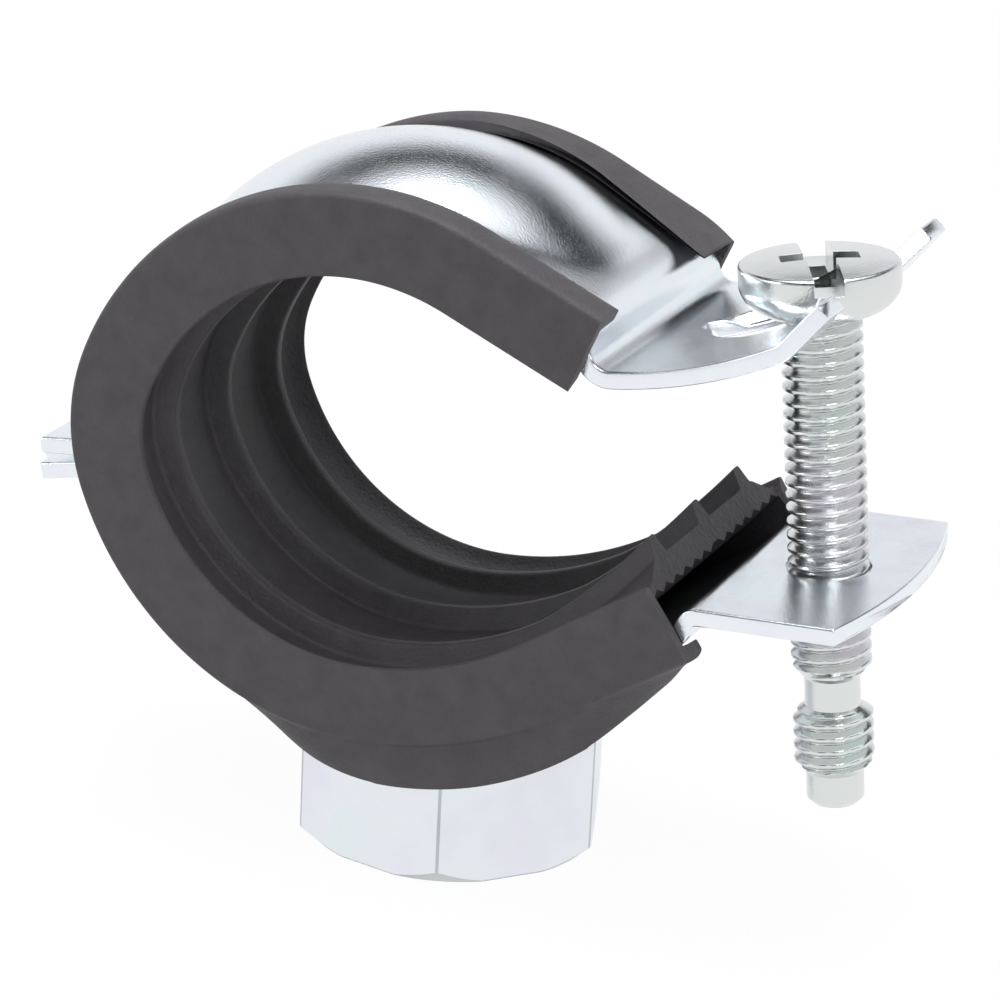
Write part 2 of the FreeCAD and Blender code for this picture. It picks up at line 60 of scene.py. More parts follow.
def put(name, mesh, body):
    """Hangs a finished mesh on its body: one object at the origin, with its place in its points."""
    piece = bpy.data.objects.new(name, mesh)
    bpy.context.scene.collection.objects.link(piece)
    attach(piece, body)
    return piece


same_point = 3e-6
no_length = 1e-7


def skin(name, sheets, caps=(), sharp_degrees=38.0):
    """Mesh from sheets of points shaped (rows, columns, 3) in mm from the pipe's axis.

    Each cell between four neighbouring points is a face, points that meet are merged, and the faces are
    turned outwards. A cap is a row of points that becomes one flat face.
    """
    points = []
    faces = []
    start = 0
    for sheet in sheets:
        rows, columns = sheet.shape[:2]
        number = start + np.arange(rows * columns).reshape(rows, columns)
        corners = (number[:-1, :-1], number[:-1, 1:], number[1:, 1:], number[1:, :-1])
        faces += np.stack(corners, axis=-1).reshape(-1, 4).tolist()
        points.append(sheet.reshape(-1, 3))
        start += rows * columns
    for cap in caps:
        points.append(cap)
        faces.append(list(range(start, start + len(cap))))
        start += len(cap)
    mesh = bpy.data.meshes.new(name)
    mesh.from_pydata((np.concatenate(points) + pipe_axis) * 0.001, [], faces)
    form = bmesh.new()
    form.from_mesh(mesh)
    bmesh.ops.remove_doubles(form, verts=form.verts, dist=same_point)
    bmesh.ops.dissolve_degenerate(form, edges=form.edges, dist=no_length)
    bmesh.ops.recalc_face_normals(form, faces=form.faces)
    form.to_mesh(mesh)
    form.free()
    mesh.shade_smooth()
    mesh.set_sharp_from_angle(angle=np.radians(sharp_degrees))
    return mesh


def track(start, heading, steps):
    """Plan of a line in the XZ plane: each step is a length and the degrees it turns to the left.

    Gives the start points, the lengths run before each step, the headings and the curvatures.
    """
    starts = [np.asarray(start, float)]
    before = [0.0]
    headings = [np.radians(heading)]
    curvatures = []
    for length, degrees in steps:
        turn = np.radians(degrees)
        middle = headings[-1] + turn / 2
        chord = length * np.sinc(turn / (2 * np.pi))
        starts.append(starts[-1] + chord * np.array([np.cos(middle), np.sin(middle)]))
        before.append(before[-1] + length)
        headings.append(headings[-1] + turn)
        curvatures.append(turn / length)
    return np.array(starts), np.array(before), np.array(headings), np.array(curvatures)


def arc(radius, degrees):
    """Step along an arc: its length is radius * angle, and it turns by the angle."""
    return radius * abs(np.radians(degrees)), degrees


def on_track(plan, run):
    """Points and left-hand normals at distances along a plan: a chord of length run * sinc from the step's
    start, turned by half of the heading's change."""
    starts, before, headings, curvatures = plan
    step = np.clip(np.searchsorted(before, run, side="right") - 1, 0, len(curvatures) - 1)
    ahead = run - before[step]
    turn = curvatures[step] * ahead
    middle = headings[step] + turn / 2
    chord = ahead * np.sinc(turn / (2 * np.pi))
    points = starts[step] + chord[..., None] * np.stack([np.cos(middle), np.sin(middle)], axis=-1)
    heading = headings[step] + turn
    return points, np.stack([-np.sin(heading), np.cos(heading)], axis=-1)


tight_bend = 3.0
rows_in_bend = 12
nearest_rows = 0.004


def rows_along(plan, spacing, finer=()):
    """Distances along a plan: even ones, one at every change of step, closer ones in tight bends and at the
    given places."""
    starts, before, headings, curvatures = plan
    runs = [np.arange(0, before[-1], spacing), before]
    for first, last, curve in zip(before[:-1], before[1:], curvatures):
        if abs(curve) > 1 / tight_bend:
            runs.append(np.linspace(first, last, rows_in_bend))
    runs += [np.asarray(place, float) for place in finer]
    rows = np.unique(np.round(np.clip(np.concatenate(runs), 0, before[-1]), 4))
    keep = np.append(True, np.diff(rows) > nearest_rows)
    return rows[keep]


bore_radius = 17.5
relaxed_radius = 26.0
steel_inner = 3.55
steel_thickness = 1.25
steel_middle = steel_inner + steel_thickness / 2
strip_half = 12.25
edge_round = 0.16
upper_centre = np.array([-0.15, -5.9])
upper_start_angle = 175.2
upper_straight_angle = 67.5
upper_straight = 7.26
kink_radius = 2.9
kink_turn = 52.5
kink_straight = 0.66
flange_foot_radius = 2.0
flange_foot_turn = 83.5
flange_length = 12.7
flange_bow = 20.0
ear_bend_radius = 2.0
ear_turn = 23.5
ear_length = 3.9
lower_start_angle = 201.4
lower_relax_angle = 275.0
lower_straight_angle = 304.0
lower_straight = 10.4
step_radius = 1.2
step_turn = 37.0
step_straight = 0.65
lower_flange_radius = 1.1
lower_flange_turn = 67.4
lower_flange_length = 11.85
lower_flange_bulge = 1.7
bulge_reach = 6.0
tab_reach = 26.0
lower_tab_more = 2.4
tab_bend = 1.5
upper_tab_slope = 7.5
lower_tab_slope = 12.0


def tab_before(ring_start, ring_heading, tab_heading, side, reach):
    """Tip of the hinge tab and its two steps: a straight run from the given reach, then a bend that touches
    the ring. Side is 1 for a left-hand bend."""
    turn = ring_heading - tab_heading
    left = np.array([-np.sin(np.radians(ring_heading)), np.cos(np.radians(ring_heading))])
    centre = ring_start + left * tab_bend * side
    tab_left = np.array([-np.sin(np.radians(tab_heading)), np.cos(np.radians(tab_heading))])
    bend_start = centre - tab_left * tab_bend * side
    ahead = np.array([np.cos(np.radians(tab_heading)), np.sin(np.radians(tab_heading))])
    run = (bend_start[0] + reach) / ahead[0]
    return bend_start - ahead * run, [(run, 0.0), arc(tab_bend, turn)]


def around(centre, radius, degrees):
    """Point on a circle: centre + radius * (cos, sin) of the angle."""
    angle = np.radians(degrees)
    return np.asarray(centre) + radius * np.array([np.cos(angle), np.sin(angle)])


ring_middle = bore_radius + steel_middle
upper_ring_start = around(upper_centre, ring_middle, upper_start_angle)
upper_tip, upper_tab = tab_before(upper_ring_start, upper_start_angle - 90, upper_tab_slope, 1, tab_reach)
upper_plan = track(upper_tip, upper_tab_slope, upper_tab + [
    arc(ring_middle, upper_straight_angle - upper_start_angle), (upper_straight, 0.0),
    arc(kink_radius, -kink_turn), (kink_straight, 0.0), arc(flange_foot_radius, flange_foot_turn),
    (flange_length, flange_bow), arc(ear_bend_radius, ear_turn), (ear_length, 0.0)])
lower_ring_start = around((0, 0), ring_middle, lower_start_angle)
lower_tip, lower_tab = tab_before(lower_ring_start, lower_start_angle - 270, lower_tab_slope, -1,
                                  tab_reach + lower_tab_more)
lower_plan = track(lower_tip, lower_tab_slope, lower_tab + [
    arc(ring_middle, lower_relax_angle - lower_start_angle),
    arc(relaxed_radius + steel_middle, lower_straight_angle - lower_relax_angle), (lower_straight, 0.0),
    arc(step_radius, step_turn), (step_straight, 0.0), arc(lower_flange_radius, -lower_flange_turn),
    (lower_flange_length, 0.0)])


face_columns = 41
corner_columns = 5


def half_strip(plan, rows, side, inner, outer, rise, dish=None, end_bulge=0.0):
    """Closed skin of the strip's front (-1) or back (1) half.

    The section runs over the outer face, round the sheared edge and back over the inner face. Where the
    inner limit is more than 0, a wall with rounded edges closes it. Rise lifts both faces, dish sinks the
    outer one, and the end bulge shortens the rows towards the sides by bulge * (y / half width) ** 2.
    """
    total = plan[1][-1]
    turned = 1.0 if plan is upper_plan else -1.0
    from_end = np.minimum(rows, total - rows)
    inset = np.clip(edge_round - from_end, 0, edge_round)
    shrink = edge_round - np.sqrt(edge_round ** 2 - inset ** 2)
    half = (steel_thickness / 2 - shrink)[:, None]
    corner = np.radians(np.linspace(0, 90, corner_columns))
    share = np.linspace(0, 1, face_columns)
    out_round = np.minimum(edge_round, half)
    in_round = np.minimum(edge_round, inner[:, None] * 0.5)
    low = inner[:, None] + in_round
    high = outer[:, None] - out_round
    face_y = low + (high - low) * share
    bend_y = high + out_round * np.sin(corner)
    bend_d = half - out_round * (1 - np.cos(corner))
    wall_y = low - in_round * np.sin(corner)
    wall_d = half - in_round * (1 - np.cos(corner))
    top = np.broadcast_to(half, face_y.shape)
    y = np.concatenate([face_y, bend_y, bend_y[:, ::-1], face_y[:, ::-1]], axis=1)
    d = np.concatenate([top, bend_d, -bend_d[:, ::-1], -top], axis=1)
    wall = np.concatenate([wall_y, wall_y[:, ::-1]], axis=1)
    wall_depth = np.concatenate([wall_d, -wall_d[:, ::-1]], axis=1)

    def placed(y, d):
        """Points at a place across the strip and a distance off its middle, along the plan's normals."""
        run = rows[:, None] * np.ones_like(y)
        if end_bulge:
            late = np.clip((run - total + bulge_reach) / bulge_reach, 0, 1)
            run = run - late * end_bulge * (y / strip_half) ** 2
        middle, normal = on_track(plan, run)
        lift = rise(run, y)
        if dish is not None:
            lift = lift - np.where(d > 0, dish(middle[..., 0], y), 0.0)
        spot = middle + normal * (d * turned + lift)[..., None]
        return np.stack([spot[..., 0], y * side, spot[..., 1]], axis=-1)

    faces = placed(y, d)
    sheets = [faces]
    open_rows = inner > 0
    touched = open_rows.copy()
    touched[:-1] |= open_rows[1:]
    touched[1:] |= open_rows[:-1]
    walls = placed(wall, wall_depth)
    borders = np.flatnonzero(np.diff(np.concatenate([[0], touched.astype(int), [0]])))
    for first, last in zip(borders[::2], borders[1::2]):
        sheets.append(walls[first:last])
    caps = []
    for row in (0, -1):
        caps.append(np.concatenate([faces[row], walls[row][::-1][1:-1]]))
    return sheets, caps


# The crown: its crest follows a circle round a centre on its high side, then the tangent to the bend
crown_rise = 2.57
crown_shift = 4.0
crown_angle = 105.0
crown_half = 10.35
crown_soft = 0.45
crown_fade_in = 4.0
crown_fade_out = 1.5
ring_run = upper_plan[1][2]
kink_run = upper_plan[1][4]
steel_outer_radius = bore_radius + steel_inner + steel_thickness
crown_radius = steel_outer_radius + crown_rise - crown_shift
crown_centre = upper_centre + around((0, 0), crown_shift, crown_angle)
crown_start = ring_run - 0.5
crown_end = kink_run + 0.6
crown_foot = on_track(upper_plan, np.array([kink_run]))
crown_foot = crown_foot[0][0] + crown_foot[1][0] * steel_thickness / 2
to_foot = crown_foot - crown_centre
foot_distance = np.hypot(*to_foot)
leave_angle = np.arctan2(to_foot[1], to_foot[0]) + np.arccos(crown_radius / foot_distance)


def crown(run, y):
    """Height of the crown at a distance along the upper half and a place across it: the crest's height less
    rise * (y / half width) ** 2, made soft at its foot by (h + sqrt(h ** 2 + e ** 2)) / 2."""
    middle, normal = on_track(upper_plan, run)
    surface = middle + normal * steel_thickness / 2
    from_centre = surface - crown_centre
    angle = np.arctan2(from_centre[..., 1], from_centre[..., 0]) % (2 * np.pi)
    arc_height = crown_radius - np.hypot(from_centre[..., 0], from_centre[..., 1])
    leave = np.array([np.cos(leave_angle), np.sin(leave_angle)])
    line_height = crown_radius - from_centre @ leave
    height = np.where(angle > leave_angle, arc_height, line_height)
    height = height - crown_rise * (y / crown_half) ** 2
    soft = (height + np.sqrt(height ** 2 + crown_soft ** 2)) / 2
    fade_in = np.clip((run - crown_start) / crown_fade_in, 0, 1)
    fade_out = np.clip((crown_end - run) / crown_fade_out, 0, 1)
    return soft * fade_in * fade_out


def flat(run, y):
    """No rise: zero everywhere."""
    return np.zeros_like(run)


screw_x = 30.8
screw_lean = np.radians(6.15)
slot_tip_x = 21.9
slot_tip_radius = 0.9
slot_seat_x = 28.3
slot_seat_radius = 3.9
slot_mouth = 5.2
mouth_bend_x = slot_seat_x + 2.9
ear_end_x = 35.3
ear_inside = strip_half - 1.15
rim_middle_x = screw_x - 1.95
rim_travel = 2.1
rim_radius = 4.75
rim_slope = 0.8
rim_depth = 0.75


def fork(x):
    """Half width of the slot: a small round tip, straight sides that touch a round seat, an open mouth.
    Circles are sqrt(radius ** 2 - (x - middle) ** 2), and the sides rise with the tangent's slope."""
    lean = np.arcsin((slot_seat_radius - slot_tip_radius) / (slot_seat_x - slot_tip_x))
    tip = np.sqrt(np.clip(slot_tip_radius ** 2 - (x - slot_tip_x) ** 2, 0, None))
    seat = np.sqrt(np.clip(slot_seat_radius ** 2 - (x - slot_seat_x) ** 2, 0, None))
    first = slot_tip_x - slot_tip_radius * np.sin(lean)
    last = slot_seat_x - slot_seat_radius * np.sin(lean)
    side = slot_tip_radius * np.cos(lean) + (x - first) * np.tan(lean)
    side = np.where((x >= first) & (x <= last), side, 0)
    mouth_at = [slot_seat_x, mouth_bend_x, ear_end_x]
    mouth = np.interp(x, mouth_at, [slot_seat_radius, slot_mouth, ear_inside])
    mouth = np.where(x > slot_seat_x, mouth, 0)
    return np.maximum.reduce([tip, seat, side, mouth])


def rim_dish(x, y):
    """Depth of the dished rim: a cone round the screw's seat, drawn out along the slot by the screw's
    travel: slope * (radius - distance), cut off at the rim's depth."""
    along = np.clip(abs(x - rim_middle_x) - rim_travel, 0, None)
    return np.clip((rim_radius - np.hypot(along, y)) * rim_slope, 0, rim_depth)


upper_total = upper_plan[1][-1]
upper_lengths = np.linspace(0, upper_total, 4000)
upper_x = on_track(upper_plan, upper_lengths)[0][:, 0]
flange_part = upper_lengths > kink_run
fork_start = kink_run + 3


def run_at(x):
    """Distance along the upper half at which its flange reaches a given x."""
    return np.interp(x, upper_x[flange_part], upper_lengths[flange_part])


hinge_reach = 25.0
window_half_length = 1.0
window_half_width = 5.0
hook_slot_half_length = 1.225
hook_slot_half_width = 5.4
lower_tip_half = 7.4
lower_shoulder_half = 9.8
beside_edge = 0.06
row_spacing = 0.5
slot_places = slot_tip_x - slot_tip_radius * np.cos(np.radians([0, 3, 8, 15, 25, 40, 60, 90]))
slot_rows = run_at(np.concatenate([slot_places, np.linspace(slot_tip_x, mouth_bend_x + 0.5, 40)]))
tab_window = (tab_reach - hinge_reach + window_half_length) / np.cos(np.radians(upper_tab_slope))
edge_rows = edge_round * np.array([0, 0.12, 0.35, 0.65, 1.0])
crown_rows = np.linspace(ring_run - 1, ring_run + 5, 20)
window_rows = [tab_window, tab_window + beside_edge]
upper_rows = rows_along(upper_plan, row_spacing, (slot_rows, window_rows, edge_rows,
                                                  upper_total - edge_rows, crown_rows))
middle_x = on_track(upper_plan, upper_rows)[0][:, 0]
upper_inner = np.where(upper_rows > fork_start, fork(middle_x), 0.0)
upper_inner = np.where(upper_rows <= tab_window, window_half_width, upper_inner)
upper_outer = np.full_like(upper_rows, strip_half)

lower_tab_share = 1 / np.cos(np.radians(lower_tab_slope))
tab_shoulder = lower_tab_more * lower_tab_share
slot_middle = tab_reach + lower_tab_more - hinge_reach
slot_first = (slot_middle - hook_slot_half_length) * lower_tab_share
slot_last = (slot_middle + hook_slot_half_length) * lower_tab_share
lower_total = lower_plan[1][-1]
hole_radius = 3.06
lower_lengths = np.linspace(lower_plan[1][-2], lower_total, 500)
flange_spot = on_track(lower_plan, lower_lengths)[0]
from_screw = (flange_spot[:, 0] - screw_x) * np.cos(screw_lean) + flange_spot[:, 1] * np.sin(screw_lean)
hole_run = np.interp(0.0, from_screw, lower_lengths)
hole_rows = hole_run + hole_radius * np.cos(np.radians([0, 2, 5, 9, 14, 20, 30, 45, 60, 75, 90]))
slot_ends = [slot_first - beside_edge, slot_first, slot_last, slot_last + beside_edge]
shoulder_rows = [tab_shoulder, tab_shoulder + beside_edge]
bulge_rows = np.linspace(lower_total - bulge_reach, lower_total, 24)
lower_rows = rows_along(lower_plan, row_spacing, (hole_rows, 2 * hole_run - hole_rows, slot_ends, edge_rows,
                                                  shoulder_rows, lower_total - edge_rows, bulge_rows))
in_slot = (lower_rows >= slot_first) & (lower_rows <= slot_last)
lower_inner = np.where(in_slot, hook_slot_half_width, 0.0)
hole_half = np.sqrt(np.clip(hole_radius ** 2 - (lower_rows - hole_run) ** 2, 0, None))
lower_inner = np.maximum(lower_inner, hole_half)
lower_outer = np.interp(lower_rows, [0] + shoulder_rows, [lower_tip_half, lower_shoulder_half, strip_half])


def zinc(name, tint, shine, grain_mm, grain_depth):
    """Metal whose colour and roughness drift over a few millimetres, between the tint and its pink and green
    casts and from 0.6 to 1.4 times the shine, and whose bump is a fine noise."""
    material = bpy.data.materials.new(name)
    material.use_nodes = True
    nodes = material.node_tree.nodes
    links = material.node_tree.links
    shader = nodes["Principled BSDF"]
    shader.inputs["Metallic"].default_value = 1.0
    place = nodes.new("ShaderNodeTexCoord")
    drift = nodes.new("ShaderNodeTexNoise")
    drift.inputs["Scale"].default_value = 170.0
    drift.inputs["Detail"].default_value = 3.0
    links.new(place.outputs["Object"], drift.inputs["Vector"])
    casts = nodes.new("ShaderNodeValToRGB")
    casts.color_ramp.elements[0].position = 0.32
    casts.color_ramp.elements[0].color = (tint[0] * 0.95, tint[1], tint[2] * 0.985, 1)
    casts.color_ramp.elements[1].position = 0.68
    casts.color_ramp.elements[1].color = (tint[0], tint[1] * 0.965, tint[2] * 1.01, 1)
    middle = casts.color_ramp.elements.new(0.5)
    middle.color = (*tint, 1)
    links.new(drift.outputs["Fac"], casts.inputs["Fac"])
    links.new(casts.outputs["Color"], shader.inputs["Base Color"])
    grain = nodes.new("ShaderNodeTexNoise")
    grain.inputs["Scale"].default_value = 1000.0 / grain_mm
    grain.inputs["Detail"].default_value = 3.0
    grain.inputs["Roughness"].default_value = 0.6
    links.new(place.outputs["Object"], grain.inputs["Vector"])
    spread = nodes.new("ShaderNodeMapRange")
    spread.inputs["From Min"].default_value = 0.3
    spread.inputs["From Max"].default_value = 0.7
    spread.inputs["To Min"].default_value = shine * 0.6
    spread.inputs["To Max"].default_value = shine * 1.4
    links.new(drift.outputs["Fac"], spread.inputs["Value"])
    links.new(spread.outputs["Result"], shader.inputs["Roughness"])
    bump = nodes.new("ShaderNodeBump")
    bump.inputs["Strength"].default_value = 1.0
    bump.inputs["Distance"].default_value = grain_depth * 0.001
    links.new(grain.outputs["Fac"], bump.inputs["Height"])
    links.new(bump.outputs["Normal"], shader.inputs["Normal"])
    return material


strip_zinc = zinc("strip_zinc", (0.82, 0.86, 0.90), 0.17, 0.17, 0.020)

upper_sheets = []
upper_caps = []
for side in (-1, 1):
    sheets, caps = half_strip(upper_plan, upper_rows, side, upper_inner, upper_outer, crown, rim_dish)
    upper_sheets += sheets
    upper_caps += caps
upper_mesh = skin("upper_band_pressed", upper_sheets, upper_caps, sharp_degrees=35.0)
upper_mesh.materials.append(strip_zinc)
upper_piece = put("upper_band_pressed", upper_mesh, "upper_half")
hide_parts("upper_band")

lower_sheets = []
lower_caps = []
for side in (-1, 1):
    sheets, caps = half_strip(lower_plan, lower_rows, side, lower_inner, lower_outer, flat,
                              end_bulge=lower_flange_bulge)
    lower_sheets += sheets
    lower_caps += caps
lower_mesh = skin("lower_band_bent", lower_sheets, lower_caps, sharp_degrees=35.0)
lower_mesh.materials.append(strip_zinc)
lower_piece = put("lower_band_bent", lower_mesh, "lower_half")
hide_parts("lower_band")

# The rubber liner: one extruded strip of black rubber with a U section, pushed over both edges of the band.
# It runs past the hinge without a seam. Three ribs and two grooves face the pipe, fine teeth face the steel.
hinge_radius = 9.0
liner_lower_run = 11.1
liner_upper_run = 10.4
half_drop = np.hypot(*upper_centre) / 2
hinge_side = -np.sqrt((bore_radius - hinge_radius) ** 2 - half_drop ** 2)
hinge_turn = np.degrees(np.arctan2(half_drop, -hinge_side))
arc_out = around((0, 0), 1.0, upper_straight_angle)
liner_start = around(upper_centre, bore_radius, upper_straight_angle)
liner_start = liner_start + liner_upper_run * np.array([arc_out[1], -arc_out[0]])
liner_plan = track(liner_start, upper_straight_angle + 90, [
    (liner_upper_run, 0.0), arc(bore_radius, 180 - hinge_turn - upper_straight_angle),
    arc(hinge_radius, 2 * hinge_turn), arc(bore_radius, lower_relax_angle - 180 - hinge_turn),
    arc(relaxed_radius, lower_straight_angle - lower_relax_angle), (liner_lower_run, 0.0)])
liner_total = liner_plan[1][-1]
liner_rows = rows_along(liner_plan, 0.4)
line = on_track(liner_plan, liner_rows)[0]

half_width = 13.25
wall_inside = 12.35
crest = -0.3
groove = 1.3
floor_back = 3.45
crease = 5.85
rib_place = 8.2
rib_top_half = 0.45
rib_foot_half = 0.95
tooth_count = 14
tooth_depth = 0.42


def soften(corners, radii, steps=4):
    """Outline with rounded corners: near each corner the point runs along a quadratic curve whose ends lie
    one radius before and after it."""
    corners = np.asarray(corners, float)
    before = np.roll(corners, 1, axis=0) - corners
    after = np.roll(corners, -1, axis=0) - corners
    reach_back = np.minimum(radii, np.hypot(*before.T) * 0.49) / np.hypot(*before.T)
    reach_on = np.minimum(radii, np.hypot(*after.T) * 0.49) / np.hypot(*after.T)
    first = corners + before * reach_back[:, None]
    last = corners + after * reach_on[:, None]
    t = np.linspace(0, 1, steps)[None, :, None]
    curve = (1 - t) ** 2 * first[:, None] + 2 * t * (1 - t) * corners[:, None] + t ** 2 * last[:, None]
    return curve.reshape(-1, 2)


pipe_side = [(rib_top_half, crest), (rib_foot_half, groove), (rib_place - rib_foot_half, groove),
             (rib_place - rib_top_half, crest), (rib_place + rib_top_half, crest),
             (rib_place + rib_foot_half, groove), (11.4, groove), (12.35, 0.75), (12.95, -0.05),
             (half_width, 0.1)]
pipe_round = [0.25, 0.3, 0.3, 0.25, 0.25, 0.3, 0.8, 0.5, 0.12, 0.1]
lip_side = [(half_width, crease), (12.8, 6.12), (11.0, 6.25), (10.1, 6.0), (10.15, 5.15), (10.9, 5.1),
            (12.3, 5.0), (wall_inside, 4.8)]
lip_round = [0.25, 0.5, 0.5, 0.25, 0.2, 0.4, 0.15, 0.1]
tooth_y = np.linspace(wall_inside - 0.3, 0.45, tooth_count)
tooth_d = floor_back - tooth_depth * (np.arange(tooth_count) % 2)
steel_side = [(wall_inside, floor_back)] + list(zip(tooth_y, tooth_d))
half_corners = pipe_side + lip_side + steel_side
half_radii = pipe_round + lip_round + [0.05] * len(steel_side)
corners = half_corners + [(-y, d) for y, d in half_corners[::-1]]
section = soften(corners, half_radii + half_radii[::-1])

# The lips lie over the band, give way to the hinge tabs, and are bent outwards by the nut's corners
lip_pivot = np.array([12.8, 5.4])
lip_from_y = 10.2
lip_from_d = 4.85
lip_bend_start = 0.45
lip_bend_run = 1.2
lip_squeeze = 0.55
nut_side_z = -8.0
hinge_side_x = -10.0
tab_fade = 1.2
smooth_rows = 6
front_open_x = np.array([-10.5, -6.0, -2.0, 2.0, 7.0, 12.0, 16.0, 20.0, 24.0])
front_open = np.array([0.0, 20.0, 56.0, 78.0, 88.0, 66.0, 40.0, 18.0, 4.0])
back_open_x = np.array([-16.0, -11.0, -5.0, -1.0, 3.5, 8.0, 13.0])
back_open = np.array([0.0, 35.0, 60.0, 88.0, 60.0, 25.0, 0.0])
front_hang = 1.5
back_hang = 1.12
tab_height = (-9.2, -0.5)
below = line[:, 1] < nut_side_z
front_bend = np.where(below, np.interp(line[:, 0], front_open_x, front_open), 0.0)
back_bend = np.where(below, np.interp(line[:, 0], back_open_x, back_open), 0.0)
kernel = np.hanning(2 * smooth_rows + 1)
kernel = kernel / kernel.sum()
front_bend = np.convolve(np.pad(front_bend, smooth_rows, mode="edge"), kernel, mode="valid")
back_bend = np.convolve(np.pad(back_bend, smooth_rows, mode="edge"), kernel, mode="valid")
tab_middle = sum(tab_height) / 2
tab_half = (tab_height[1] - tab_height[0]) / 2
near_tab = np.clip((abs(line[:, 1] - tab_middle) - tab_half) / tab_fade + 1.0, 0, 1)
lip_reach = np.where(line[:, 0] < hinge_side_x, near_tab, 1.0)

side = np.sign(section[:, 0])
y = np.repeat(section[None, :, 0], len(line), axis=0)
d = np.repeat(section[None, :, 1], len(line), axis=0)
is_lip = (abs(section[:, 0]) > lip_from_y) & (section[:, 1] > lip_from_d)
inward = np.clip(wall_inside - abs(y), 0, None)
y = np.where(is_lip, y + side * inward * (1 - lip_reach[:, None]), y)
bend = np.radians(np.where(side < 0, front_bend[:, None], back_bend[:, None]))
share = np.clip((lip_pivot[0] + lip_bend_start - abs(y)) / lip_bend_run, 0, 1)
angle = np.where(is_lip, bend * share, 0.0)
from_y = abs(y) - lip_pivot[0]
from_d = d - lip_pivot[1]
turned_y = lip_pivot[0] + from_y * np.cos(angle) + from_d * np.sin(angle) * lip_squeeze
hang = np.where(side < 0, front_hang, back_hang)
turned_d = lip_pivot[1] - from_y * np.sin(angle) * hang + from_d * np.cos(angle)
y = np.where(is_lip, side * np.minimum(turned_y, half_width), y)
d = np.where(is_lip, turned_d, d)

# On the upper half the back lip lies wider and thinner on the steel towards its end
widen_before = 9.0
widen_run = 19.0
widen_power = 1.3
lip_widening = 1.35
lip_thinning = 0.7
lip_root = 12.9
wall_top_d = 5.3
end_drop_height = 0.5
end_drop_run = 3.4
upper_run = liner_upper_run - liner_rows
sunk = np.clip((upper_run + widen_before) / widen_run, 0, 1)[:, None]
back_lip = is_lip & (section[:, 0] > 0)
widened = 1 + lip_widening * sunk ** widen_power * (y < lip_root)
y = np.where(back_lip, lip_root - (lip_root - y) * widened, y)
wall_top = (section[:, 0] > 0) & (section[:, 1] > wall_top_d)
near_end = np.clip((upper_run[:, None] - liner_upper_run + end_drop_run) / end_drop_run, 0, 1)
end_drop = end_drop_height * near_end ** 2 * np.clip((y - 10.0) / 3.0, 0, 1)
d = np.where(wall_top, d - sunk * lip_thinning - end_drop, d)

# The floor stops where the steel bends in through it: deeper layers are cut shorter
crown_stop = 8.3
crown_stop_slope = 0.768
kink_stop = 7.9
kink_stop_slope = 1.3
step_stop = 10.5
step_stop_slope = 1.327
end_margin = 0.4
is_floor = (abs(section[:, 0]) < wall_inside + 0.01) & (section[:, 1] < floor_back + 0.01)
above_steel = steel_inner - section[:, 1]
upper_stop = np.minimum(crown_stop + above_steel * crown_stop_slope,
                        kink_stop + above_steel * kink_stop_slope)
upper_limit = liner_upper_run - np.minimum(liner_upper_run, upper_stop)
lower_stop = np.minimum(step_stop + above_steel * step_stop_slope, liner_lower_run - end_margin)
lower_limit = liner_total - liner_lower_run + lower_stop
run = np.repeat(liner_rows[:, None], len(section), axis=1)
run = np.where(is_floor, np.clip(run, upper_limit, lower_limit), run)

# Near its lower end the floor has come off the steel and stands up between the walls
lift_height = 2.45
lift_run = 12.0
lift_power = 1.6
lift_fold = 3.4
lifted_back = 2.5
floor_lift = lift_height * np.clip((run - liner_total + lift_run) / lift_run, 0, 1) ** lift_power
folded = np.clip((lip_root - abs(section[:, 0])) / lift_fold, 0, 1)
lift_share = np.where(section[:, 1] > lifted_back, 1.0, folded)
d = np.where(is_floor, d - floor_lift * lift_share, d)
middle, left = on_track(liner_plan, run)
spot = middle - left * d[..., None]
liner_points = np.stack([spot[..., 0], y, spot[..., 1]], axis=-1)
closed = np.concatenate([liner_points, liner_points[:, :1]], axis=1)
changes = np.flatnonzero(np.diff(is_floor.astype(int)))
near_out, near_in, far_out, far_in = changes
number = np.arange(len(section))
floor_loop = np.concatenate([number[:near_out + 1], number[near_in + 1:far_out + 1], number[far_in + 1:]])
loops = [floor_loop, number[near_out:near_in + 2], number[far_out:far_in + 2]]
caps = [liner_points[row][loop] for row in (0, -1) for loop in loops]
liner_mesh = skin("rubber_liner", [closed], caps=caps, sharp_degrees=50.0)


